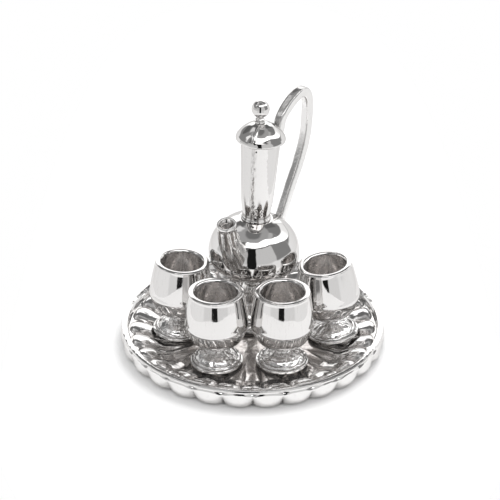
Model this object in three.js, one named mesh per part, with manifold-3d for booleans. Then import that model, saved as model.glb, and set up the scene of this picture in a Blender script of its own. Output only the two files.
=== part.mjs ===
// Miniature tea set: a scalloped tray, a tall-necked pot with a lift-off lid, and four stemmed goblets.
// Millimetres, +Z up, the front towards -Y. The origin is the centre of the tray's base.

import * as THREE from "three";
import { mergeVertices } from "three/addons/utils/BufferGeometryUtils.js";
import Module from "manifold-3d";

const wasm = await Module();
wasm.setup();

// ---- Driving dimensions ----

const TRAY = {
  lobes: 28, // scallops round the edge, with a notch at the front
  rimRadius: 22, // outer edge of the rim
  rimHeight: 3.6, // top of the rim above the table
  bandWidth: 1.15, // plain band round the top of the rim
  floorThickness: 1.1,
  footRadius: 16.2, // flat face that the tray stands on
  skirtRadius: 20.3, // inner face of the scalloped skirt, which is hollow underneath
  lobeBulge: 0.2, // how far a scallop's crest stands out past the rim
  notchDepth: 1.2, // from a scallop's crest in to the notch beside it, at the bottom
  ridgeStart: 9.5, // where the round ridges of the floor begin
  ridgeFull: 15, // where they reach their full height
  ridgeEnd: 20.6, // and where they end on the wall, short of the plain band
  ridgeCap: 1.6, // length of a ridge's rounded outer end
  ridgeHeight: 0.7, // above the valleys between the ridges
};

const POT = {
  place: [0.12, 3.2], // on the tray
  leanDegrees: 1.55, // towards +X
  footOffset: -0.55, // the foot is soldered a little to one side
  footRadius: 4.5,
  standRadius: 3.7, // ring that it stands on, inside the raised edge of the foot
  stemTop: 9.0,
  bodyRadius: 7.6,
  bodyRing: 13.3, // height of the joint between the body's two halves
  shoulderTop: 20.1,
  neckFootRadius: 2.25,
  neckTopRadius: 3.25,
  neckTop: 34.2,
  boreRadius: 1.9,
  wall: 0.8,
};

const LID = {
  radius: 4.05,
  height: 3,
  plugRadius: 1.8,
  plugDepth: 2.4,
  ballRadius: 1.45,
  ballOffset: -0.3, // the finial is soldered a little to one side
  ballHeight: 39.6,
};

const SPOUT = { azimuth: 241, baseRadius: 2.7, lipRadius: 1.55, cupRadius: 1.1, cupDepth: 0.8 };

const HANDLE = { azimuth: 55, width: 1.55, thickness: 1.7, corner: 0.35 };

const GOBLET = {
  footRadius: 4.35,
  standRadius: 3.5, // ring that it stands on, inside the raised edge of the foot
  bowlRadius: 5.15,
  rimRadius: 4.5,
  mouthRadius: 3.45,
  bowlBottom: 3.35,
  height: 13.5,
};

// Each goblet's place on the tray, its lean in degrees and the direction that it leans towards.
// The two at the sides stand with one edge of the foot on the rising wall of the tray.
const GOBLETS = {
  front_left: { place: [-5.87, -9.5], lean: 0, towards: 0 },
  front_right: { place: [4.8, -9.5], lean: 0, towards: 0 },
  left: { place: [-12.5, 0.2], lean: 3.8, towards: -4 },
  right: { place: [13.55, -1.0], lean: 7.2, towards: 180 },
};

const SOLDER_GAP = 0.04; // between soldered pieces, so that each stays its own solid
const REST_GAP = 0.06; // between the tray's floor and what stands on it

// ---- Materials ----

const bright = () => new THREE.MeshStandardMaterial({ color: 0xd9d9db, roughness: 0.12, metalness: 1 });
const rough = () => new THREE.MeshStandardMaterial({ color: 0xb9b6b4, roughness: 0.35, metalness: 1 });

// ---- Helpers ----

const radians = THREE.MathUtils.degToRad;
const vec = (x, y) => new THREE.Vector2(x, y);

// An outline in (radius, height), made of corners joined by straight lines and of smooth curves.
function outline(...stretches) {
  const points = [];
  for (const { at, steps } of stretches) {
    const path = at.map(([r, z]) => vec(r, z));
    const found = steps === 0 ? path : new THREE.SplineCurve(path).getPoints(steps * (path.length - 1));
    for (const p of found) {
      const last = points.at(-1);
      if (!last || last.distanceTo(p) > 0.02) points.push(vec(Math.max(p.x, 0), p.y));
    }
  }
  return points;
}
const line = (...at) => ({ at, steps: 0 });
const curve = (steps, ...at) => ({ at, steps }); // with this many steps from each point to the next

// A solid of revolution about +Z. Step 0 of the turn is at the front, -Y.
function turned(points, segments) {
  return new THREE.LatheGeometry(points, segments).rotateX(Math.PI / 2);
}

// Moves every vertex by a function of its place, and leaves the seams closed.
function reshape(geometry, move) {
  const at = geometry.attributes.position;
  const p = new THREE.Vector3();
  for (let i = 0; i < at.count; i += 1) {
    move(p.fromBufferAttribute(at, i));
    at.setXYZ(i, p.x, p.y, p.z);
  }
  return geometry;
}

function solidFrom(geometry) {
  const plain = geometry.clone();
  plain.deleteAttribute("normal");
  plain.deleteAttribute("uv");
  const merged = mergeVertices(plain, 1e-4);
  return new wasm.Manifold(
    new wasm.Mesh({
      numProp: 3,
      vertProperties: merged.attributes.position.array,
      triVerts: new Uint32Array(merged.index.array),
    }),
  );
}

function geometryFrom(solid) {
  const mesh = solid.getMesh();
  const geometry = new THREE.BufferGeometry();
  geometry.setAttribute("position", new THREE.BufferAttribute(mesh.vertProperties, 3));
  geometry.setIndex(new THREE.BufferAttribute(mesh.triVerts, 1));
  return geometry;
}

const cut = (geometry, ...tools) =>
  geometryFrom(tools.reduce((solid, tool) => solid.subtract(solidFrom(tool)), solidFrom(geometry)));

function node(name, geometry, material) {
  const mesh = new THREE.Mesh(geometry, material);
  mesh.name = name;
  return mesh;
}

// ---- Tray ----

// How far an angle is from the nearest notch: 0 at a notch and 1 in the middle of a lobe.
function fromNotch(angle) {
  const phase = (((angle * TRAY.lobes) / (2 * Math.PI)) % 1 + 1) % 1;
  return 1 - Math.abs(2 * phase - 1);
}

// The height of a circle's arc over its chord, from 0 at its ends to 1 in the middle.
const arc = (off) => Math.sqrt(Math.max(0, 1 - off ** 2));

function trayOutline() {
  const { rimRadius, rimHeight, bandWidth, floorThickness, footRadius, skirtRadius } = TRAY;
  const bandEdge = rimRadius - bandWidth;
  return outline(
    line([0, 0], [footRadius, 0]),
    line([skirtRadius - 0.7, 1.4], [skirtRadius, 1.7]),
    line([skirtRadius, 0.5], [skirtRadius + 0.6, 0.2]),
    curve(1, [rimRadius - 0.5, 0.4], [rimRadius, 1.1], [rimRadius, 2.2], [rimRadius, rimHeight - 0.9]),
    line([rimRadius, rimHeight - 0.35], [rimRadius - 0.15, rimHeight]),
    line([bandEdge + 0.2, rimHeight - 0.1], [bandEdge, rimHeight - 0.4]),
    line([bandEdge - 0.6, rimHeight - 0.75], [18.2, 2.35]),
    line([17.0, 1.85], [15.8, 1.35]),
    line([14.9, floorThickness], [12.2, floorThickness]),
    line([TRAY.ridgeStart, floorThickness], [0, floorThickness]),
  );
}

// Scallops the skirt below the rim, and cuts the valleys between the ridges of the floor and wall.
// Each ridge stands over a notch of the skirt, and has a rounded outer end.
function fluteTray(p) {
  const { rimRadius, rimHeight, bandWidth, lobeBulge, notchDepth, skirtRadius, floorThickness } = TRAY;
  const { ridgeStart, ridgeFull, ridgeEnd, ridgeCap, ridgeHeight } = TRAY;
  const { smoothstep } = THREE.MathUtils;
  const r = Math.hypot(p.x, p.y);
  if (r === 0) return;
  const off = fromNotch(Math.atan2(p.x, -p.y));
  const crest = arc(1 - off);
  const below = 1 - smoothstep(p.z, 0.5, rimHeight - 1);
  const skirt = smoothstep(rimHeight - 0.4 - p.z, 0, 0.5);
  const outside = smoothstep(r, skirtRadius, rimRadius - 0.4);
  const grown = r + outside * (lobeBulge * skirt * crest - notchDepth * below * (1 - crest));
  if (p.z > floorThickness - 0.01 && r < rimRadius - bandWidth - 0.1) {
    const cap = Math.max(0, (r - ridgeEnd + ridgeCap) / ridgeCap);
    const valley = 1 - arc(Math.hypot(off, cap));
    p.z -= ridgeHeight * valley * smoothstep(r, ridgeStart, ridgeFull);
  }
  p.x *= grown / r;
  p.y *= grown / r;
}

function tray() {
  const stepsPerLobe = 4;
  const geometry = reshape(turned(trayOutline(), TRAY.lobes * stepsPerLobe), fluteTray);
  return node("tray", geometry, bright());
}

// ---- Goblets ----

function gobletBowl(name) {
  const { bowlRadius, rimRadius, mouthRadius, bowlBottom, height } = GOBLET;
  const points = outline(
    line([0, bowlBottom], [1.2, bowlBottom]),
    curve(2, [1.9, bowlBottom + 0.1], [4.0, 4.7], [bowlRadius, 7.4], [bowlRadius - 0.2, 10.2]),
    line([rimRadius, height - 0.55], [rimRadius - 0.05, height - 0.15], [rimRadius - 0.15, height]),
    line([mouthRadius + 0.15, height], [mouthRadius, height - 0.25]),
    curve(2, [4.1, 9.7], [4.1, 6.8], [2.6, 4.9], [0, 4.4]),
  );
  return node(`goblet_${name}_bowl`, turned(points, 26), bright());
}

function gobletFoot(name) {
  const { footRadius, standRadius, bowlBottom } = GOBLET;
  const points = outline(
    line([0, 0.6], [standRadius - 0.7, 0.4]),
    line([standRadius - 0.4, 0], [standRadius, 0]),
    line([standRadius + 0.15, 0.25], [footRadius - 0.1, 0.32]),
    line([footRadius, 0.45], [footRadius - 0.1, 0.8]),
    line([3.9, 0.86], [3.7, 1.1]),
    curve(1, [3.44, 1.14], [2.9, 1.6], [2.1, 2.0], [1.4, 2.35], [1.15, 2.8]),
    line([1.5, bowlBottom - SOLDER_GAP], [0, bowlBottom - SOLDER_GAP]),
  );
  return node(`goblet_${name}_foot`, turned(points, 22), rough());
}

// Turns a group about its foot so that it leans towards an azimuth, counted from +X to +Y.
function lean(group, degrees, towards) {
  const axis = new THREE.Vector3(-Math.sin(radians(towards)), Math.cos(radians(towards)), 0);
  group.quaternion.setFromAxisAngle(axis, radians(degrees));
}

function goblet(name) {
  const { place, lean: degrees, towards } = GOBLETS[name];
  const group = new THREE.Group();
  group.add(gobletBowl(name), gobletFoot(name));
  lean(group, degrees, towards);
  const lowEdgeDrop = GOBLET.standRadius * Math.sin(radians(degrees));
  group.position.set(...place, TRAY.floorThickness + REST_GAP + lowEdgeDrop);
  return group;
}

// ---- Pot ----

function potFoot() {
  const { footRadius, standRadius, stemTop } = POT;
  const points = outline(
    line([0, 1.2], [standRadius - 0.8, 0.5]),
    line([standRadius - 0.5, 0], [standRadius, 0]),
    line([standRadius + 0.15, 0.25], [footRadius - 0.1, 0.32]),
    line([footRadius, 0.45], [footRadius - 0.1, 0.8]),
    line([4.0, 0.9], [3.8, 1.15]),
    curve(2, [3.1, 1.5], [1.6, 2.6], [0.9, 4.0], [0.95, 5.3]),
    curve(1, [1.25, 5.6], [1.7, 6.6], [1.35, 7.6], [0.95, 8.1]),
    line([1.4, stemTop], [0, stemTop]),
  );
  const mesh = node("pot_foot", turned(points, 22), rough());
  mesh.position.x = POT.footOffset;
  return mesh;
}

function potPan() {
  const { bodyRadius, bodyRing, stemTop, wall } = POT;
  const under = stemTop + SOLDER_GAP;
  const points = outline(
    line([0, under], [2.2, under]),
    curve(1, [3.0, 9.5], [5.0, 10.45], [6.6, 11.4], [7.35, 12.3], [bodyRadius, bodyRing - SOLDER_GAP]),
    line([bodyRadius - wall, bodyRing - SOLDER_GAP], [bodyRadius - wall - 0.3, 12.6]),
    line([4.8, 11.3], [0, under + wall]),
  );
  return node("pot_pan", turned(points, 36), bright());
}

function domeOutline(grow) {
  const { bodyRadius, bodyRing, shoulderTop } = POT;
  return curve(
    2,
    [bodyRadius + grow, bodyRing],
    [bodyRadius - 0.05 + grow, 14.6],
    [7.1 + grow, 16.4],
    [6.0 + grow, 18.1 + grow],
    [4.4 + grow, 19.4 + grow],
    [2.8 + grow, shoulderTop + grow],
  );
}

// The outside of the neck above its bead, grown by a gap.
function neckOutline(grow) {
  const { shoulderTop, neckFootRadius, neckTopRadius, neckTop } = POT;
  return curve(
    1,
    [neckFootRadius + grow, shoulderTop + 0.9],
    [2.6 + grow, 23.2],
    [2.8 + grow, 26],
    [3 + grow, 30],
    [neckTopRadius + grow, neckTop],
  );
}

function potNeck() {
  const { shoulderTop, neckFootRadius, neckTop, boreRadius } = POT;
  const foot = shoulderTop + SOLDER_GAP;
  const bead = neckFootRadius + 0.2;
  const points = outline(
    line([boreRadius, foot], [bead, foot]),
    line([bead, foot + 0.2], [neckFootRadius + 0.05, foot + 0.5]),
    neckOutline(0),
    line([boreRadius, neckTop], [boreRadius, foot]),
  );
  return node("pot_neck", turned(points, 28), bright());
}

// A plug that cuts what is soldered to the neck, so that it meets the neck's outside.
function neckTool() {
  const { shoulderTop, neckTop } = POT;
  return turned(outline(line([0, shoulderTop + 0.9]), neckOutline(SOLDER_GAP), line([0, neckTop])), 28);
}

// The middle line of the spout, in (distance from the pot's axis, height).
const spoutLine = new THREE.SplineCurve([
  vec(4.4, 13.2),
  vec(6.1, 15.6),
  vec(7.6, 17.6),
  vec(8.8, 19.6),
  vec(10.1, 23.2),
]);
const spoutLength = spoutLine.getLength();

// Carries a straight piece, turned about +Y from Y = 0 up, onto the spout's middle line.
function alongSpout(geometry) {
  const turn = radians(SPOUT.azimuth);
  return reshape(geometry, (p) => {
    const t = THREE.MathUtils.clamp(p.y / spoutLength, 0, 1);
    const at = spoutLine.getPointAt(t);
    const along = spoutLine.getTangentAt(t);
    const reach = at.x + along.y * p.x;
    const height = at.y - along.x * p.x;
    const across = -p.z;
    p.set(
      reach * Math.cos(turn) - across * Math.sin(turn),
      reach * Math.sin(turn) + across * Math.cos(turn),
      height,
    );
  });
}

// The body's whole outer shape, grown by the gap that a soldered piece keeps to it.
function bodyTool() {
  const { bodyRadius, bodyRing, shoulderTop } = POT;
  const points = outline(
    line([0, bodyRing - 4], [bodyRadius + SOLDER_GAP, bodyRing - 4]),
    domeOutline(SOLDER_GAP),
    line([0, shoulderTop + SOLDER_GAP]),
  );
  return turned(points, 36);
}

function potDome() {
  const { bodyRadius, bodyRing, shoulderTop, boreRadius, wall } = POT;
  const inside = bodyRadius - wall;
  const points = outline(
    line([inside, bodyRing], [bodyRadius, bodyRing]),
    domeOutline(0),
    line([boreRadius, shoulderTop], [boreRadius, shoulderTop - wall]),
    curve(1, [3.9, 18.5], [5.3, 17.4], [6.2, 16.0], [inside, 14.5], [inside, bodyRing]),
  );
  return node("pot_dome", turned(points, 36), bright());
}

// Solid, with a round lip and only a shallow cup in its end.
function potSpout() {
  const { baseRadius, lipRadius, cupRadius, cupDepth } = SPOUT;
  const end = spoutLength;
  const points = outline(
    line([0, 0], [baseRadius, 0]),
    curve(1, [baseRadius, 0], [2.3, 1.6], [1.9, 4.5], [1.65, 7], [lipRadius - 0.15, end - 0.8]),
    line([lipRadius, end - 0.35], [lipRadius - 0.1, end - 0.05]),
    line([(lipRadius + cupRadius) / 2, end]),
    curve(2, [cupRadius, end - 0.15], [cupRadius * 0.7, end - cupDepth * 0.75], [0, end - cupDepth]),
  );
  return node("pot_spout", cut(alongSpout(new THREE.LatheGeometry(points, 18)), bodyTool()), rough());
}

// The handle's middle line, from the top of the neck, round the loop and down to the shoulder.
function handleLine() {
  const at = [
    [2.5, 32.0],
    [4.3, 32.6],
    [5.1, 34.3],
    [5.6, 36.1],
    [7.4, 37.7],
    [9.5, 38.75],
    [10.9, 39.05],
    [12.5, 38.35],
    [13.45, 36.0],
    [13.5, 30.7],
    [12.0, 26.1],
    [9.65, 21.65],
    [7.6, 17.3],
    [6.4, 14.9],
  ];
  return new THREE.CatmullRomCurve3(at.map(([r, z]) => new THREE.Vector3(r, 0, z)));
}

function potHandle() {
  const { azimuth, width, thickness, corner } = HANDLE;
  const x = thickness / 2;
  const y = width / 2;
  const section = new THREE.Shape();
  section.moveTo(-x, -y + corner);
  section.lineTo(-x, y - corner);
  section.lineTo(-x + corner, y);
  section.lineTo(x - corner, y);
  section.lineTo(x, y - corner);
  section.lineTo(x, -y + corner);
  section.lineTo(x - corner, -y);
  section.lineTo(-x + corner, -y);
  const strap = new THREE.ExtrudeGeometry(section, { steps: 44, extrudePath: handleLine() });
  strap.rotateZ(radians(azimuth));
  return node("pot_handle", cut(strap, bodyTool(), neckTool()), bright());
}

// ---- Lid ----

function lidCap() {
  const { radius, height, plugRadius, plugDepth } = LID;
  const seat = POT.neckTop + REST_GAP;
  const top = seat + height;
  const points = outline(
    line([plugRadius - 0.5, seat - plugDepth], [plugRadius, seat - plugDepth]),
    line([plugRadius, seat], [radius - 0.2, seat]),
    curve(1, [radius - 0.05, seat + 0.15], [radius, seat + 0.4], [radius - 0.12, seat + 0.8]),
    curve(1, [radius - 0.12, seat + 0.8], [3.2, seat + 1.7], [2.1, seat + 2.55], [1.0, top]),
    line([0, top]),
    line([0, top - 0.7], [plugRadius - 0.6, top - 0.9]),
    line([plugRadius - 0.5, top - 1.4], [plugRadius - 0.5, seat - plugDepth]),
  );
  return node("lid_cap", turned(points, 28), bright());
}

function lidFinial() {
  const { ballRadius, ballHeight, ballOffset, height } = LID;
  const foot = POT.neckTop + REST_GAP + height + SOLDER_GAP;
  const neck = 0.55;
  const from = -Math.acos(neck / ballRadius);
  const ball = Array.from({ length: 9 }, (_, i) => from + (i / 8) * (Math.PI / 2 - from));
  const points = outline(
    line([0, foot], [0.9, foot]),
    line([0.85, foot + 0.25], [0.6, foot + 0.35]),
    line([0.75, foot + 0.6], [neck, foot + 0.8]),
    ...ball.map((a) => line([ballRadius * Math.cos(a), ballHeight + ballRadius * Math.sin(a)])),
  );
  const mesh = node("lid_finial", turned(points, 20), bright());
  mesh.position.x = ballOffset;
  return mesh;
}

function pot() {
  const group = new THREE.Group();
  group.add(potFoot(), potPan(), potDome(), potNeck(), potSpout(), potHandle(), lidCap(), lidFinial());
  lean(group, POT.leanDegrees, 0);
  const lowEdgeDrop = POT.standRadius * Math.sin(radians(POT.leanDegrees));
  group.position.set(...POT.place, TRAY.floorThickness + REST_GAP + lowEdgeDrop);
  return group;
}

const teaSet = new THREE.Group();
teaSet.add(tray(), pot(), ...Object.keys(GOBLETS).map(goblet));

export default teaSet;
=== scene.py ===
"""A miniature tea set in polished plate: what it looks like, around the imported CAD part."""

import math

import bpy
from mathutils import Matrix, Vector, noise

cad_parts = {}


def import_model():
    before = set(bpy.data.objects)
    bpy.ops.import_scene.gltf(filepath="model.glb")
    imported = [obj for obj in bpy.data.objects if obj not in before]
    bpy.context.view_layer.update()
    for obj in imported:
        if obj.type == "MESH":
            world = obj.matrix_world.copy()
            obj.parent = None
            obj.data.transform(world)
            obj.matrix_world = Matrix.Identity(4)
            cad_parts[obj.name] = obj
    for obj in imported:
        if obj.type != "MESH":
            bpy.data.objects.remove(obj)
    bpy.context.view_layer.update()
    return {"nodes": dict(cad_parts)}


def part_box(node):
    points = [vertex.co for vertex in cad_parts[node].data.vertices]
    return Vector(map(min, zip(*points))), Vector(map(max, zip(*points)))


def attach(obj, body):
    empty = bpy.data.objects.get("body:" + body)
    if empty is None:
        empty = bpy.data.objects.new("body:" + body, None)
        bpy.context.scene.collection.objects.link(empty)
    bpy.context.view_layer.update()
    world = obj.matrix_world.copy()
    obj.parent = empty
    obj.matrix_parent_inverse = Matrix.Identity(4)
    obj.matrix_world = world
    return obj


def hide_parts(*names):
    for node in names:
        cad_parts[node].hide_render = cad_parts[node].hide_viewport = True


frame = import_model()

MM = 0.001  # every size below is in millimetres

# ---------------------------------------------------------------- sizes

TRAY = {
    "lobes": 28,
    "rim": 22.0,
    "height": 3.6,
    "floor": 1.1,
    "flat": 14.9,  # radius where the floor starts to rise to the rim
    "foot": 16.2,  # flat face that it stands on
    "skirt": 20.3,  # inner face of the scalloped skirt
    "lip": 1.15,  # width of the plain band round the rim
    "bulge": 0.17,  # how far a scallop's crest stands out
    "notch": 1.2,  # how far the notch beside it is cut in, at the bottom
    "dent": 0.4,  # depth of the small dent under the rim at each notch
    "ridge": 0.7,  # height of the ridges over the valleys between them
    "ridge_start": 9.5,
    "ridge_full": 15.0,
    "ridge_end": 20.6,
    "ridge_cap": 1.6,
}
POT = {
    "stem_top": 9.0,
    "ring": 13.3,  # height of the joint between the two halves of the body
    "body": 7.6,
    "shoulder": 20.1,
    "neck_foot": 2.25,
    "neck_top": 3.25,
    "top": 34.2,
    "bore": 1.9,
    "wall": 0.8,
}
LID = {"radius": 4.05, "height": 3.0, "ball": 1.45, "ball_height": 39.6, "ball_offset": -0.3}
SPOUT = {"azimuth": 241.0, "lip": 1.6, "cup": 1.1}
HANDLE = {"azimuth": 55.0, "width": 1.55, "thickness": 1.7}
SEAM = {"azimuth": 252.0, "width": 0.42, "height": 0.06}  # the soldered joint up the front of the neck
DARK_REFLECTION_STREAKS = [223, 277, 307]  # azimuths of the dark streaks up the neck's foot: painted reflections
DARK_REFLECTION_WIDTH = 4.5  # degrees from a streak's middle to where it fades
GOBLET = {"foot": 4.35, "bowl": 5.15, "mouth": 3.45, "bowl_bottom": 3.35, "height": 13.5}
GOBLETS = ["goblet_front_left", "goblet_front_right", "goblet_left", "goblet_right"]

GAP = 0.06  # between a part that lifts off and what it stands on
SOLDER_GAP = 0.04  # between soldered pieces
EASE = 0.12  # how far from a corner its rounding starts
SHARP = math.radians(14)  # the least turn that counts as a corner

# ---------------------------------------------------------------- outlines


def smoothstep(value, start, end):
    t = min(max((value - start) / (end - start), 0.0), 1.0)
    return t * t * (3 - 2 * t)


def value_at(values, share):
    """A value part of the way along a list of them, from 0 at the first to 1 at the last."""
    place = min(max(share, 0.0), 1.0) * (len(values) - 1)
    index = min(int(place), len(values) - 2)
    return values[index] + (values[index + 1] - values[index]) * (place - index)


def aside(angle, azimuth):
    """How many degrees an angle lies past an azimuth, from -180 to 180."""
    return (math.degrees(angle) - azimuth + 180) % 360 - 180


def curve(steps, *points):
    """A smooth line through the points, with this many steps from each to the next."""
    points = [Vector(p) for p in points]
    held = [points[0], *points, points[-1]]
    made = [points[0]]
    for before, start, end, after in zip(held, held[1:], held[2:], held[3:]):
        for step in range(1, steps + 1):
            t = step / steps
            into, out_of = (end - before) / 2, (after - start) / 2
            made.append(
                start * (2 * t**3 - 3 * t**2 + 1)
                + end * (3 * t**2 - 2 * t**3)
                + into * (t**3 - 2 * t**2 + t)
                + out_of * (t**3 - t**2)
            )
    return made


def line(*points):
    """Straight from each point to the next."""
    return [Vector(p) for p in points]


def outline(*stretches, ease=EASE):
    """One outline from its stretches, with every sharp corner rounded off."""
    points = []
    for stretch in stretches:
        for point in stretch:
            if not points or (point - points[-1]).length > 1e-4:
                points.append(point)
    made = [points[0]]
    for before, corner, after in zip(points, points[1:], points[2:]):
        way_in, way_out = corner - before, after - corner
        if way_in.angle(way_out) < SHARP:
            made.append(corner)
            continue
        start = corner - way_in.normalized() * min(ease, way_in.length * 0.45)
        end = corner + way_out.normalized() * min(ease, way_out.length * 0.45)
        for step in range(6):
            t = step / 5
            made.append(start * (1 - t) ** 2 + corner * 2 * t * (1 - t) + end * t * t)
    made.append(points[-1])
    return made


# ---------------------------------------------------------------- meshes


def piece(name, node, points, faces, place, material, tones):
    """Makes one smooth piece in the place of a CAD node. Tone is 0 on open metal and 1 in hollows."""
    mesh = bpy.data.meshes.new(name)
    mesh.from_pydata([place @ p for p in points], [], faces)
    tone = mesh.attributes.new("tone", "FLOAT", "POINT")
    tone.data.foreach_set("value", tones)
    mesh.polygons.foreach_set("use_smooth", [True] * len(mesh.polygons))
    mesh.materials.append(material)
    mesh.update()
    made = bpy.data.objects.new(name, mesh)
    bpy.context.scene.collection.objects.link(made)
    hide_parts(node)
    return made


def skin(rings):
    """The faces between rings of points, all of one length, and a fan over each end."""
    columns = len(rings[0])
    points = [p for ring in rings for p in ring]
    faces = []
    for row in range(len(rings) - 1):
        for column in range(columns):
            following = (column + 1) % columns
            low, high = row * columns, (row + 1) * columns
            faces.append((low + column, low + following, high + following, high + column))
    for ring, first in [(rings[0], 0), (rings[-1], len(points) - columns)]:
        points.append(sum(ring, Vector()) / columns)
        for column in range(columns):
            pair = [first + column, first + (column + 1) % columns]
            if first == 0:
                pair.reverse()
            faces.append((*pair, len(points) - 1))
    return points, faces


def as_made(radius, height, angle):
    return radius, height


def open_metal(radius, height, angle):
    return 0.0


def turned(name, node, points, place, material, columns=160, shape=as_made, tone=open_metal, angles=None):
    """Turns an outline round the axis. shape may move a point, and tone says how deep it lies."""
    angles = angles or [math.tau * k / columns for k in range(columns)]
    points = [p for p in points if p.x > 1e-3]
    rings, tones = [], []
    for point in points:
        ring = []
        for angle in angles:
            radius, height = shape(point.x, point.y, angle)
            ring.append(Vector((radius * math.cos(angle), radius * math.sin(angle), height)))
            tones.append(tone(point.x, point.y, angle))
        rings.append(ring)
    vertices, faces = skin(rings)
    tones += [tone(0, points[0].y, 0), tone(0, points[-1].y, 0)]
    return piece(name, node, vertices, faces, place, material, tones)


def bent(path, azimuth, section, columns):
    """Rings of points along a bent line that lies in a plane through the axis. section gives a point
    of the ring at a step along the line and an angle: how far it lies outward and how far aside."""
    turn = math.radians(azimuth)
    outward = Vector((math.cos(turn), math.sin(turn), 0))
    sideways = Vector((-math.sin(turn), math.cos(turn), 0))
    up = Vector((0, 0, 1))
    lengths = [0.0]
    for start, end in zip(path, path[1:]):
        lengths.append(lengths[-1] + (end - start).length)
    rings = []
    for index, point in enumerate(path):
        before, after = path[max(index - 1, 0)], path[min(index + 1, len(path) - 1)]
        along = (after - before).normalized()
        across = outward * along.y - up * along.x
        centre = outward * point.x + up * point.y
        ring = []
        for column in range(columns):
            out, side = section(lengths[index], lengths[-1], math.tau * column / columns)
            ring.append(centre + across * out + sideways * side)
        rings.append(ring)
    return rings


def corners(node):
    """A CAD node's corners, each of them once."""
    vertices = frame["nodes"][node].data.vertices
    return [Vector(c) for c in {tuple(round(x, 7) for x in v.co) for v in vertices}]


def stand(low_node, high_node):
    """Where a turned part stands: from millimetres about its axis to the frame. The axis runs through
    the middles of two CAD nodes, so both should be centred on it. The goblets' nodes are. pot_foot is
    soldered to one side, so the pot leans more here than in the CAD."""
    low, high = [sum(corners(n), Vector()) / len(corners(n)) for n in (low_node, high_node)]
    up = (high - low).normalized()
    drop = up.dot(low) - min(up.dot(c) for c in corners(low_node))
    lean = Vector((0, 0, 1)).rotation_difference(up).to_matrix().to_4x4()
    return Matrix.Translation(low - up * drop) @ lean @ Matrix.Scale(MM, 4)


def uneven(angle, height, size, seed):
    """A slow random swell over a turned surface, from -1 to 1."""
    around = Vector((math.cos(angle), math.sin(angle), 0)) * size
    return noise.noise(around + Vector((seed, -seed, height * size / 4)))


# ---------------------------------------------------------------- materials


class Nodes:
    """The node tree of a material or of the world, built with one call for each node."""

    def __init__(self, tree):
        self.tree = tree
        tree.nodes.clear()

    def add(self, kind, links=None, **settings):
        node = self.tree.nodes.new(kind)
        for key, value in settings.items():
            setattr(node, key, value)
        for key, value in (links or {}).items():
            if isinstance(value, bpy.types.NodeSocket):
                self.tree.links.new(value, node.inputs[key])
            else:
                node.inputs[key].default_value = value
        return node

    def math(self, operation, first, second=0.0, clamp=False):
        links = {0: first, 1: second}
        return self.add("ShaderNodeMath", links, operation=operation, use_clamp=clamp).outputs[0]

    def mix(self, factor, first, second):
        """A number part of the way between two."""
        return self.add("ShaderNodeMix", {0: factor, 2: first, 3: second}, data_type="FLOAT").outputs[0]

    def mix_colour(self, factor, first, second):
        return self.add("ShaderNodeMix", {0: factor, 6: first, 7: second}, data_type="RGBA").outputs[2]

    def span(self, value, low, high, to_low=0.0, to_high=1.0, kind="LINEAR"):
        links = {"Value": value, "From Min": low, "From Max": high, "To Min": to_low, "To Max": to_high}
        return self.add("ShaderNodeMapRange", links, interpolation_type=kind, clamp=True).outputs[0]

    def noise(self, where, per_mm, detail=3.0, roughness=0.5):
        links = {"Vector": where, "Scale": per_mm / MM, "Detail": detail, "Roughness": roughness}
        return self.add("ShaderNodeTexNoise", links).outputs[0]

    def bump(self, height, distance, normal=None):
        links = {"Height": height, "Strength": 1.0, "Distance": distance * MM}
        if normal:
            links["Normal"] = normal
        return self.add("ShaderNodeBump", links).outputs[0]


EDGE_TINT = (0.76, 0.755, 0.75, 1)  # what the plate mirrors at a grazing angle


def plate(
    name, metal, tarnish_and_painted_light, gloss, dull, swell, grain, grain_per_mm,
    stretch=(1, 1, 1), tarnish_and_painted_light_share=0.8, matte=0.0,
):
    """Plated metal: bright where it is open, and duller and of a second colour where the tone attribute
    is high. That colour is tarnish in fine specks and in the neck's seam, and painted light elsewhere:
    painted shade in hollows, valleys and under edges, and painted reflections in streaks.
    gloss and dull are the roughness of bare metal and of that second colour. swell and grain are how
    high, in millimetres, the slow waves and the fine grain stand. matte is how far the second colour
    hides the metal."""
    material = bpy.data.materials.new(name)
    material.use_nodes = True
    n = Nodes(material.node_tree)
    where = n.add("ShaderNodeTexCoord").outputs["Object"]
    drawn = n.add("ShaderNodeMapping", {"Vector": where, "Scale": stretch}).outputs[0]
    tone = n.add("ShaderNodeAttribute", attribute_name="tone").outputs["Fac"]
    slow = n.noise(where, per_mm=0.35, detail=2.0)
    cloud = n.noise(where, per_mm=1.6, detail=4.0)
    fine = n.noise(drawn, per_mm=grain_per_mm, detail=5.0, roughness=0.6)
    # Where tone is high: painted shade and painted reflections, and tarnish in the neck's seam. The fine
    # specks below are tarnish.
    depth = n.math("MULTIPLY", tone, n.span(cloud, 0.35, 0.65, tarnish_and_painted_light_share - 0.25, tarnish_and_painted_light_share + 0.1))
    bloom = n.math("MULTIPLY", n.span(fine, 0.55, 0.75), 0.12)
    tarnish_and_painted_light_amount = n.math("ADD", depth, bloom, clamp=True)
    polish = n.span(cloud, 0.3, 0.7, gloss * 0.7, gloss * 1.3)
    links = {
        "Base Color": n.mix_colour(tarnish_and_painted_light_amount, (*metal, 1), (*tarnish_and_painted_light, 1)),
        "Metallic": n.span(tarnish_and_painted_light_amount, 0.0, 1.0, 1.0, 1.0 - matte) if matte else 1.0,
        "Roughness": n.mix(tarnish_and_painted_light_amount, polish, dull),
        "Normal": n.bump(fine, grain, n.bump(slow, swell)),
        "Specular Tint": EDGE_TINT,
    }
    shader = n.add("ShaderNodeBsdfPrincipled", links)
    n.add("ShaderNodeOutputMaterial", {"Surface": shader.outputs[0]})
    return material


SILVER = (0.755, 0.743, 0.735)
PALE_SILVER = (0.84, 0.83, 0.822)
WHITE_SILVER = (0.88, 0.87, 0.86)
UPRIGHT = (1, 1, 0.2)  # draws the grain out up and down

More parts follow.
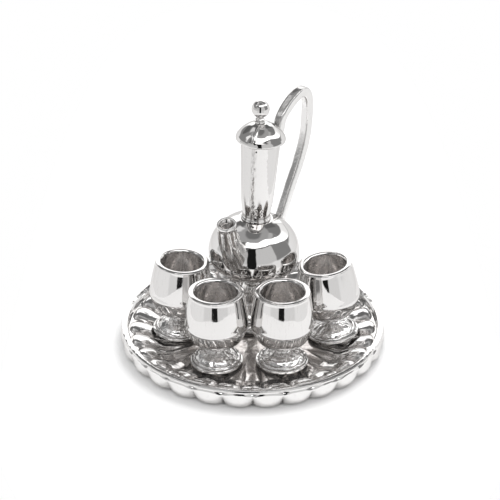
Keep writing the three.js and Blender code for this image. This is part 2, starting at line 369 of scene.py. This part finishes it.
bright = plate(
    "bright_plate", SILVER, tarnish_and_painted_light=(0.50, 0.445, 0.42),
    gloss=0.035, dull=0.22, swell=0.05, grain=0.0006, grain_per_mm=6.0,
)
# Its darker second colour is painted shade on the tray's floor and in the valleys between its ridges.
dish = plate(
    "dish_plate", PALE_SILVER, tarnish_and_painted_light=(0.42, 0.375, 0.35),
    gloss=0.04, dull=0.16, swell=0.06, grain=0.02, grain_per_mm=1.4, matte=0.28,
)
# Its pale, matte second colour is painted reflection: the light mirrored round inside the goblets, in
# streaks.
cup = plate(
    "cup_plate", SILVER, tarnish_and_painted_light=(0.80, 0.745, 0.71),
    gloss=0.035, dull=0.38, swell=0.015, grain=0.004, grain_per_mm=3.0,
    stretch=(1, 1, 0.1), tarnish_and_painted_light_share=0.6, matte=0.7,
)
# Its near-black second colour is painted shade: under the goblets' feet, in their grooves, and on the
# handle's inner face. The fine specks are tarnish.
cast = plate(
    "cast_plate", (0.85, 0.84, 0.832), tarnish_and_painted_light=(0.10, 0.09, 0.085),
    gloss=0.035, dull=0.2, swell=0.08, grain=0.05, grain_per_mm=1.8,
)
# Its dark second colour is painted shade in the spout's cuts and in the hollow of its mouth. The fine
# specks are tarnish.
bark = plate(
    "bark_plate", WHITE_SILVER, tarnish_and_painted_light=(0.16, 0.14, 0.13),
    gloss=0.04, dull=0.25, swell=0.06, grain=0.03, grain_per_mm=3.0, stretch=UPRIGHT,
)
# Its dark second colour is tarnish in the neck's seam, and painted reflection in the streaks up the neck's
# foot.
seamed = plate(
    "seamed_plate", SILVER, tarnish_and_painted_light=(0.15, 0.14, 0.13),
    gloss=0.035, dull=0.2, swell=0.05, grain=0.0006, grain_per_mm=6.0,
)

# ---------------------------------------------------------------- tray


def lobe_angles(steps):
    """Angles round the tray, closest together at the notches and at the middle of each lobe. With
    each goes how far it is from the nearest notch, from 0 to 1."""
    made = {}
    for half in range(2 * TRAY["lobes"]):
        for step in range(steps):
            part = (1 - math.cos(math.pi * step / steps)) / 2
            angle = math.pi * (half + part) / TRAY["lobes"] - math.pi / 2
            made[angle] = part if half % 2 == 0 else 1 - part
    return made


def tray_outline():
    rim, height, floor, skirt = TRAY["rim"], TRAY["height"], TRAY["floor"], TRAY["skirt"]
    inner, flat = rim - TRAY["lip"], TRAY["flat"]
    return outline(
        line([0.5, 0], [TRAY["foot"], 0]),
        line([skirt - 0.7, 1.4], [skirt, 1.7]),
        line([skirt, 0.5], [skirt + 0.3, 0.28]),
        curve(5, [20.9, 0.2], [21.5, 0.4], [rim, 1.2], [rim, 2.2], [rim - 0.05, height - 0.5]),
        curve(5, [rim - 0.05, height - 0.5], [rim, height - 0.3], [rim - 0.1, height - 0.08]),
        curve(5, [rim - 0.1, height - 0.08], [rim - 0.5, height], [inner + 0.15, height - 0.12]),
        curve(5, [inner + 0.15, height - 0.12], [inner, height - 0.35], [inner - 0.15, height - 0.6]),
        curve(12, [inner - 0.15, height - 0.6], [18.2, 2.35], [17.0, 1.85], [15.8, 1.35], [flat, floor]),
        curve(16, [flat, floor], [TRAY["ridge_start"], floor], [0.5, floor]),
    )


def ridged(radius, level, where, from_notch):
    """The floor and the wall inside the rim: valleys between round ridges, uneven as if by hand."""
    wander = 0.22 * noise.noise(where * 0.35)
    cap = max((radius - TRAY["ridge_end"] + TRAY["ridge_cap"]) / TRAY["ridge_cap"], 0)
    valley = 1 - math.sqrt(max(1 - (from_notch + wander) ** 2 - cap * cap, 0))
    depth = TRAY["ridge"] * valley * smoothstep(radius, TRAY["ridge_start"], TRAY["ridge_full"])
    rough = 0.04 * noise.noise(where * 0.45) + 0.015 * noise.noise(where * 1.3)
    return radius, level - depth - abs(rough)


def scalloped(radius, level, where, from_notch):
    """The rim and the skirt below it: scallops, with a small dent above each notch, and a worn edge."""
    rim, height = TRAY["rim"], TRAY["height"]
    crest = math.sqrt(1 - (1 - from_notch) ** 2)
    outside = smoothstep(radius, TRAY["skirt"], rim - 0.4)
    low = 1 - smoothstep(level, 0.5, height - 1.0)
    below = smoothstep(height - 0.4 - level, 0, 0.5)
    dent = math.exp(-(((level - height + 0.62) / 0.2) ** 2) - (from_notch / 0.3) ** 2)
    push = TRAY["bulge"] * below * crest - TRAY["notch"] * low * (1 - crest) - TRAY["dent"] * dent
    worn = 0.03 * noise.noise(where * 0.9 + Vector((0, 0, level)))
    band = smoothstep(level, 2.5, 3.3) if radius > rim - TRAY["lip"] else 0
    return radius + outside * push - 0.04 * below, level + worn * band


def tray():
    from_notch = lobe_angles(steps=9)
    inner, floor = TRAY["rim"] - TRAY["lip"], TRAY["floor"] - 0.01

    def shape(radius, level, angle):
        where = Vector((radius * math.cos(angle), radius * math.sin(angle), 3))
        form = ridged if level > floor and radius < inner - 0.1 else scalloped
        return form(radius, level, where, from_notch[angle])

    # Painted shade: darker on the open floor where the pot and goblets stand, further out towards the
    # front, and in the valleys between the ridges.
    def tone(radius, level, angle):
        if level < floor or radius > inner:
            return 0.0
        started = smoothstep(radius, TRAY["ridge_start"], TRAY["ridge_full"])
        valley = started * smoothstep(from_notch.get(angle, 0), 0.6, 1.0)
        ahead = smoothstep(-math.sin(angle), 0.2, 0.8)
        open_floor = 1 - smoothstep(radius, 10 + 3 * ahead, 17 + 3 * ahead)
        return max(0.85 * open_floor, 0.7 * valley * smoothstep(inner - 0.3 - radius, 0, 1))

    low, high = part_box("tray")
    place = Matrix.Translation(((low.x + high.x) / 2, (low.y + high.y) / 2, low.z)) @ Matrix.Scale(MM, 4)
    angles = list(from_notch)
    made = turned("dish", "tray", tray_outline(), place, dish, shape=shape, tone=tone, angles=angles)
    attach(made, "tray")


# ---------------------------------------------------------------- goblets


def goblet_cup(body, place, seed):
    bottom, mouth, bowl, top = GOBLET["bowl_bottom"], GOBLET["mouth"], GOBLET["bowl"], GOBLET["height"]
    points = outline(
        line([0.3, bottom], [1.3, bottom]),
        curve(
            10, [1.9, bottom + 0.1], [4.0, 4.7], [bowl - 0.06, 7.0], [bowl - 0.02, 8.2], [4.95, 10.1],
            [4.5, 13.0],
        ),
        line([4.5, 13.34]),
        curve(5, [4.42, top - 0.06], [4.1, top], [mouth + 0.25, top - 0.02], [mouth, top - 0.3]),
        curve(10, [mouth, top - 0.3], [4.0, 9.7], [4.1, 6.8], [2.6, 4.9], [0.4, 4.4]),
        ease=0.06,
    )

    def shape(radius, level, angle):
        return radius * (1 + 0.0025 * uneven(angle, level, 0.8, seed)), level

    def tone(radius, level, angle):
        """Painted reflections: pale matte streaks up the inside, and none outside."""
        between = 4.35 - 0.05 * (level - 9.7) ** 2 if level > 6.8 else bowl  # of the wall's two faces
        reach = min(mouth + 0.6, between) if level >= 5 else 3.0
        inside = 4.35 < level < top - 0.4 and radius < reach
        around = Vector((math.cos(angle), math.sin(angle), 0))
        streak = 0.62 + 0.9 * noise.noise(around * 2.4 + Vector((seed, 0, 0)))
        return streak if inside else 0.0

    made = turned(body + "_cup", body + "_bowl", points, place, cup, shape=shape, tone=tone)
    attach(made, body)


def goblet_base(body, place, seed):
    bottom, foot = GOBLET["bowl_bottom"] - 0.05, GOBLET["foot"]
    points = outline(
        line([0.3, 0.6], [2.8, 0.4], [3.1, 0], [3.5, 0]),
        line([3.65, 0.25], [foot - 0.12, 0.32], [foot, 0.45], [foot - 0.08, 0.76], [4.0, 0.88]),
        curve(8, [3.95, 0.8], [3.84, 1.08], [3.6, 1.2], [3.46, 1.1]),
        curve(8, [3.44, 1.12], [3.0, 1.62], [2.3, 2.02], [1.6, 2.3], [1.2, 2.7], [1.45, bottom]),
        line([0.3, bottom]),
        ease=0.06,
    )

    def rough(radius, level, angle):
        """A casting: rings and dents over its dome, and an edge that isn't quite round."""
        high = smoothstep(level, 0.7, 1.0) * (1 - smoothstep(level, 2.0, 2.8))
        rings = 0.05 * noise.noise(Vector((radius * 3.2, seed, 0.6 * math.cos(angle))))
        dents = 0.15 * uneven(angle, radius * 1.1, 4.0, seed) + 0.05 * uneven(angle, radius * 2, 7.0, seed)
        off_centre = 0.16 * high * math.cos(angle - seed)
        edge = 1 + 0.015 * smoothstep(level, 0.05, 0.5) * uneven(angle, level, 1.5, seed + 3)
        return min(radius * edge, foot + 0.05) + off_centre, level + high * (rings + dents)

    def tone(radius, level, angle):
        """Painted shade under the edge, for the dark contact shadow there, and in the two grooves beside
        the raised ring.
        """
        grooves, width = (3.96, 3.45), 0.09
        if level < 0.4 and radius > 3.6:
            return 1.4
        return 0.5 * max(math.exp(-(((radius - at) / width) ** 2)) for at in grooves)

    made = turned(body + "_base", body + "_foot", points, place, cast, shape=rough, tone=tone)
    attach(made, body)


# ---------------------------------------------------------------- pot


def pot_stem(place):
    top = POT["stem_top"]
    points = outline(
        line([0.3, 1.2], [2.9, 0.5], [3.2, 0], [3.7, 0]),
        line([3.85, 0.25], [4.38, 0.32], [4.5, 0.45], [4.42, 0.78], [4.15, 0.88]),
        curve(6, [4.1, 0.82], [4.0, 1.14], [3.6, 1.42], [3.26, 1.3], [3.14, 1.14]),
        curve(6, [3.12, 1.16], [3.0, 1.6], [2.64, 1.86], [2.34, 1.74], [2.24, 1.62]),
        curve(8, [2.2, 1.66], [1.5, 2.6], [0.9, 4.0], [0.95, 5.3]),
        curve(8, [0.95, 5.3], [1.25, 5.55], [1.7, 6.6], [1.35, 7.6], [0.95, 8.0], [1.4, top]),
        line([0.3, top]),
        ease=0.06,
    )

    def rough(radius, level, angle):
        """A casting: dents over its dome, an uneven stem, and an edge that isn't quite round."""
        high = smoothstep(level, 0.7, 1.0) * (1 - smoothstep(level, 2.0, 2.8))
        drawn = 0.05 * smoothstep(level, 2.4, 3.4) * uneven(angle, level * 0.3, 2.6, 12)
        edge = 1 + 0.012 * smoothstep(level, 0.05, 0.5) * uneven(angle, level, 1.5, 31)
        dents = 0.12 * high * uneven(angle, radius * 4, 3.2, 4)
        return min(radius * edge, 4.52) * (1 + drawn), level + dents

    made = turned("pot_stem", "pot_foot", points, place, cast, shape=rough)
    return made


def hammered(radius, level, angle):
    """Faint dents in the body, on both sides of the ring where its halves meet."""
    reach = smoothstep(level, 10.5, 12.0) * (1 - smoothstep(level, 13.6, 14.4)) * (radius > 6.9)
    where = Vector((math.cos(angle), math.sin(angle), 0)) * 9.5 + Vector((0, 0, level * 1.1))
    return radius + 0.035 * reach * (noise.noise(where) - 0.8), level


def pot_lower_body(place):
    bottom, ring, body = POT["stem_top"] + SOLDER_GAP, POT["ring"] - SOLDER_GAP, POT["body"]
    points = outline(
        line([0.3, bottom], [1.6, bottom]),
        curve(8, [2.2, 9.1], [3.0, 9.5], [5.0, 10.45], [6.6, 11.4], [7.35, 12.3], [body, ring]),
        line([body - POT["wall"], ring], [6.5, 12.6]),
        line([4.8, 11.3], [0.3, bottom + POT["wall"]]),
    )
    made = turned("pot_lower_body", "pot_pan", points, place, bright, columns=288, shape=hammered)
    return made


def pot_upper_body(place):
    ring, body, shoulder = POT["ring"], POT["body"], POT["shoulder"]
    points = outline(
        curve(14, [body, ring], [7.55, 14.6], [7.1, 16.4], [6.0, 18.1], [4.4, 19.4], [2.8, shoulder]),
        line([2.0, shoulder], [2.0, shoulder - POT["wall"]]),
        curve(4, [3.7, 18.9], [5.3, 17.6], [6.3, 16.1], [body - POT["wall"], ring]),
        line([body - 0.15, ring]),
    )
    made = turned("pot_upper_body", "pot_dome", points, place, bright, columns=288, shape=hammered)
    return made


def seam(angle, level):
    """How far the raised seam up the front of the neck stands out, from 0 to 1."""
    low, high = 21, 34  # the levels between which the neck widens
    radius = POT["neck_foot"] + (POT["neck_top"] - POT["neck_foot"]) * (level - low) / (high - low)
    wander = 1.2 * noise.noise(Vector((level * 0.6, 5, 0)))
    beside = math.radians(aside(angle, SEAM["azimuth"]) + wander) * radius
    return math.exp(-((beside / SEAM["width"]) ** 4))


def pot_tall_neck(place):
    foot, top, bore = POT["shoulder"] + SOLDER_GAP / 2, POT["top"], POT["bore"]
    points = outline(
        line([bore, foot], [2.4, foot]),
        curve(5, [2.47, foot + 0.1], [2.42, foot + 0.3], [2.28, foot + 0.42]),
        curve(
            12, [POT["neck_foot"], foot + 0.6], [2.36, 21.7], [2.6, 23.2], [2.8, 26], [3.0, 30],
            [POT["neck_top"], top],
        ),
        line([bore, top], [bore, foot + 0.2]),
    )

    def shape(radius, level, angle):
        if radius < bore + 0.1:
            return radius, level
        along = smoothstep(level, 21, 22.5)
        pocked = 1 + 0.7 * noise.noise(Vector((math.cos(angle) * 9, math.sin(angle) * 9, level * 1.7)))
        return radius + SEAM["height"] * pocked * seam(angle, level) * along, level

    def tone(radius, level, angle):
        """Tarnish in the seam, and painted reflections in dark streaks that run up from the neck's foot."""
        if radius < bore + 0.1:
            return 0.0
        around = Vector((math.cos(angle), math.sin(angle), 0))
        streak = max(math.exp(-((aside(angle, at) / DARK_REFLECTION_WIDTH) ** 2)) for at in DARK_REFLECTION_STREAKS)
        fade = 1 - smoothstep(level + 1.5 * noise.noise(around * 3), 22.6, 25.2)
        mottle = 0.3 + 0.8 * noise.noise(around * 14 + Vector((0, 0, level * 1.5)))
        return max(1.3 * streak * fade, 0.9 * mottle * seam(angle, level))

    made = turned("pot_tall_neck", "pot_neck", points, place, seamed, columns=288, shape=shape, tone=tone)
    return made


def pot_strap_handle(place):
    columns = 40
    path = curve(
        8, [2.2, 31.9], [2.6, 32.02], [4.3, 32.6], [5.1, 34.3], [5.6, 36.1], [7.4, 37.7], [9.5, 38.75],
        [10.9, 39.05], [12.5, 38.35], [13.45, 36.0], [13.5, 30.7], [12.0, 26.1], [9.65, 21.65], [7.6, 17.3],
        [6.2, 14.6],
    )

    def section(at, length, angle):
        """A square with rounded corners, a little lumpy, and flared at both ends."""
        flare = 1 + 0.25 * (1 - smoothstep(min(at, length - at), 0.4, 2.0))
        lump = 1 + 0.05 * noise.noise(Vector((math.cos(angle), math.sin(angle), at * 0.5)) * 1.1)
        square = (abs(math.cos(angle)) ** 5 + abs(math.sin(angle)) ** 5) ** -0.2
        size = square * flare * lump / 2
        return math.cos(angle) * size * HANDLE["thickness"], math.sin(angle) * size * HANDLE["width"]

    rings = bent(path, HANDLE["azimuth"], section, columns)
    points, faces = skin(rings)
    # Painted shade: the inner face, that faces the body, is a little darker.
    inner_face = [0.3 * smoothstep(-math.cos(math.tau * k / columns), 0.55, 0.75) for k in range(columns)]
    tones = inner_face * len(rings) + [0.0, 0.0]
    made = piece("pot_strap_handle", "pot_handle", points, faces, place, cast, tones)
    return made


def pot_spout_tube(place):
    path = curve(14, [4.1, 12.9], [4.6, 13.5], [6.1, 15.6], [7.6, 17.6], [8.8, 19.6], [10.1, 23.2])
    lip, cup_radius = SPOUT["lip"], SPOUT["cup"]
    tones = []

    def section(at, length, angle):
        """A taper with a rolled lip, and with streaks cut into its front, darkened in the cuts with painted
        shade.
        """
        radius = value_at([3.0, 2.45, 2.0, 1.74, 1.57, 1.46], at / length)
        radius += (lip - radius) * smoothstep(at, length - 0.7, length - 0.25)
        front = smoothstep(-math.cos(angle - 0.4), -1.0, 0.1)
        wide = noise.noise(Vector((angle * 9, at * 0.3, 2)))
        streak = wide + 0.7 * noise.noise(Vector((angle * 19, at * 0.6, 9)))
        depth = front * smoothstep(at, 1.5, 4) * (1 - smoothstep(at, length - 1.6, length - 0.7))
        radius += 0.15 * depth * streak
        # Painted shade: darker in the cuts.
        tones.append(depth * smoothstep(-streak, 0.05, 0.6))
        return radius * math.cos(angle), radius * math.sin(angle)

    rings = bent(path, SPOUT["azimuth"], section, columns=120)
    mouth = rings[-1]
    centre = sum(mouth, Vector()) / len(mouth)
    ahead = (centre - sum(rings[-2], Vector()) / len(mouth)).normalized()
    roll = curve(6, [lip, 0], [lip - 0.12, 0.18], [cup_radius + 0.12, 0.14], [cup_radius, -0.1])
    roll += curve(8, [cup_radius, -0.1], [0.8, -0.5], [0.15, -0.75])[1:]
    for point in roll[1:]:
        rings.append([centre + (p - centre) * (point.x / lip) + ahead * point.y for p in mouth])
        # Painted shade: darker in the hollow of the mouth.
        tones += [smoothstep(-point.y, 0.1, 0.5)] * len(mouth)
    points, faces = skin(rings)
    made = piece("pot_spout_tube", "pot_spout", points, faces, place, bark, [*tones, 0.0, 1.0])
    return made


# ---------------------------------------------------------------- lid


def lid_dome(place):
    radius, seat = LID["radius"], POT["top"] + GAP
    top = seat + LID["height"]
    points = outline(
        line([0.3, seat - 2.2], [1.8, seat - 2.4]),
        line([1.8, seat], [3.85, seat]),
        curve(5, [3.85, seat], [radius - 0.03, seat + 0.12], [radius, seat + 0.4], [3.93, seat + 0.75]),
        curve(10, [3.84, seat + 0.9], [3.2, seat + 1.7], [2.1, seat + 2.55], [1.0, top]),
        line([0.3, top]),
        ease=0.08,
    )

    def shape(radius, level, angle):
        """A rib down the front of the dome, in line with the neck's seam, and a nub at its lower end."""
        off = aside(angle, SEAM["azimuth"] - 1)
        beside = math.radians(off) * max(radius, 0.4)
        rib = math.exp(-((beside / 0.26) ** 2)) if level > seat + 0.3 and abs(off) < 90 else 0
        nub = math.exp(-((beside / 0.75) ** 4)) if seat < level < seat + 0.6 and radius > 3.8 else 0
        return radius, level + 0.14 * rib * smoothstep(radius, 0.9, 1.3) - 0.1 * nub

    made = turned("lid_dome", "lid_cap", points, place, bright, columns=288, shape=shape)
    return made


def lid_knob(place):
    ball, centre = LID["ball"], LID["ball_height"]
    foot = POT["top"] + GAP + LID["height"] + SOLDER_GAP
    turn = [math.radians(-64 + 150 * k / 24) for k in range(25)]
    points = outline(
        line([0.3, foot], [0.88, foot], [0.86, foot + 0.25], [0.6, foot + 0.36]),
        line([0.76, foot + 0.58], [0.55, foot + 0.8]),
        [Vector((ball * math.cos(t), centre + ball * math.sin(t))) for t in turn],
        ease=0.08,
    )
    beside = place @ Matrix.Translation((LID["ball_offset"], 0, 0))
    made = turned("lid_knob", "lid_finial", points, beside, bright, columns=96)
    return made


# ---------------------------------------------------------------- studio


def squared(side):
    """Turns a sine or cosine so that a circle becomes a square with rounded corners."""
    return math.copysign(abs(side) ** (2 / 3), side)


def floor():
    """A white board with rounded corners, lost in the white around it."""
    half_width, front, back, columns = 41, 60, 160, 128
    points = []
    for column in range(columns):
        angle = math.tau * column / columns
        across = squared(math.cos(angle)) * half_width
        behind = squared(math.sin(angle))
        points.append(Vector((across, behind * (back if behind > 0 else front), 0)))
    mesh = bpy.data.meshes.new("table")
    mesh.from_pydata([p * MM for p in points], [], [list(range(columns))])
    material = bpy.data.materials.new("table_white")
    material.use_nodes = True
    shader = material.node_tree.nodes["Principled BSDF"]
    shader.inputs["Base Color"].default_value = (0.9, 0.9, 0.9, 1)
    shader.inputs["Roughness"].default_value = 0.7
    mesh.materials.append(material)
    table = bpy.data.objects.new("table", mesh)
    bpy.context.scene.collection.objects.link(table)


# What polished metal mirrors: each panel's azimuth from the front towards the right, its elevation,
# its softness, all in degrees, and its brightness. A later panel hides an earlier one.
PANELS = [
    ((-105, 95), (-60, 20), 5, 0.65),  # the room in front
    ((-105, 95), (-60, -6), 4, 0.82),  # its lower part, whitest at both sides
    ((46, 100), (-60, -6), 8, 0.97),
    ((-106, -46), (-60, -6), 8, 0.97),
    ((-155, 150), (12, 91), 6, 0.54),  # the walls all round, and above them
    ((-152, -60), (14, 60), 8, 0.28),  # the left
    ((-156, -120), (26, 48), 6, 0.14),
    ((-93, -74), (36, 57), 4, 1.1),  # a small lamp there
    ((-62, -15), (34, 50), 5, 0.14),
    ((6, 58), (-6, 44), 3, 0.68),  # the right
    ((58, 106), (-6, 52), 5, 0.27),
    ((106, 150), (12, 68), 8, 0.24),
    ((-180, 180), (60, 74), 5, 0.42),  # the ceiling
    ((-180, 180), (74, 91), 6, 0.2),
    ((-150, -110), (52, 66), 5, 0.85),  # a pale patch on it
    ((-15.5, 6), (-60, 46), 2, 0.012),  # the camera and its stand
    ((-15, 56), (42.5, 48), 2, 0.1),
    ((140, 181), (38, 60), 5, 0.15),  # above the window
    ((-181, -150), (34, 60), 5, 0.15),
    ((150, 181), (12, 38), 6, 1.8),  # the window behind
    ((-181, -155), (12, 38), 6, 1.8),
]


def world():
    """Soft white all round for the light, and the panels of a studio for what is mirrored."""
    made = bpy.data.worlds.new("studio")
    bpy.context.scene.world = made
    made.use_nodes = True
    n = Nodes(made.node_tree)
    way = n.add("ShaderNodeTexCoord").outputs["Generated"]
    x, y, z = n.add("ShaderNodeSeparateXYZ", {0: way}).outputs
    radians = n.math("ARCTAN2", x, n.math("MULTIPLY", y, -1.0))
    azimuth = n.math("MULTIPLY", radians, 180 / math.pi)
    elevation = n.math("MULTIPLY", n.math("ARCSINE", z), 180 / math.pi)

    def within(value, low, high, soft):
        rise = n.span(value, low - soft / 2, low + soft / 2, kind="SMOOTHSTEP")
        fall = n.span(value, high - soft / 2, high + soft / 2, 1.0, 0.0, kind="SMOOTHSTEP")
        return n.math("MULTIPLY", rise, fall)

    tone = 1.0
    for (left, right), (low, high), soft, value in PANELS:
        mask = n.math("MULTIPLY", within(azimuth, left, right, soft), within(elevation, low, high, soft))
        tone = n.mix(mask, tone, value)
    tube = n.span(azimuth, 55, 138, 55, 21, kind="SMOOTHSTEP")  # a long lamp that slants down to the right
    above_tube = n.math("SUBTRACT", elevation, tube)
    on_tube = n.math("MULTIPLY", within(above_tube, -9, 9, 3), within(azimuth, -30, 150, 8))
    tone = n.mix(on_tube, tone, n.span(azimuth, 105, 132, 2.4, 1.1))
    mirrored = n.add("ShaderNodeBackground", {"Color": tone, "Strength": 1.0}).outputs[0]
    plain = n.add("ShaderNodeBackground", {"Color": (1, 1, 1, 1), "Strength": 1.0}).outputs[0]
    glossy = n.add("ShaderNodeLightPath").outputs["Is Glossy Ray"]
    both = n.add("ShaderNodeMixShader", {0: glossy, 1: plain, 2: mirrored}).outputs[0]
    n.add("ShaderNodeOutputWorld", {"Surface": both})


def key_light():
    """One large soft lamp, high on the right and a little behind."""
    data = bpy.data.lights.new("key", "AREA")
    data.shape = "DISK"
    data.size = 120 * MM
    data.energy = 0.2
    lamp = bpy.data.objects.new("key", data)
    lamp.location = Vector((40, 60, 210)) * MM
    lamp.rotation_mode = "QUATERNION"
    lamp.rotation_quaternion = lamp.location.to_track_quat("Z", "Y")
    lamp.visible_glossy = False
    bpy.context.scene.collection.objects.link(lamp)


def camera():
    """Looks down at the set from the front."""
    aim, away, elevation = Vector((-0.43, 0, 16.9)), 279.2, math.radians(28.7)
    back = Vector((0, -math.cos(elevation), math.sin(elevation)))
    data = bpy.data.cameras.new("camera")
    data.lens = 122.4
    data.clip_start, data.clip_end = 10 * MM, 5000 * MM
    made = bpy.data.objects.new("camera", data)
    made.location = (aim + back * away) * MM
    made.rotation_mode = "QUATERNION"
    made.rotation_quaternion = back.to_track_quat("Z", "Y")
    bpy.context.scene.collection.objects.link(made)
    bpy.context.scene.camera = made


# ---------------------------------------------------------------- the set

tray()
for number, name in enumerate(GOBLETS):
    goblet_place = stand(name + "_foot", name + "_bowl")
    goblet_seed = 11.0 * number + 2
    goblet_cup(name, goblet_place, goblet_seed)
    goblet_base(name, goblet_place, goblet_seed)
pot_place = stand("pot_foot", "pot_neck")
for make in (pot_stem, pot_lower_body, pot_upper_body, pot_tall_neck, pot_strap_handle, pot_spout_tube):
    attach(make(pot_place), "pot")
for make in (lid_dome, lid_knob):
    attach(make(pot_place), "lid")
floor()
world()
key_light()
camera()
bpy.context.scene.view_settings.view_transform = "Standard"
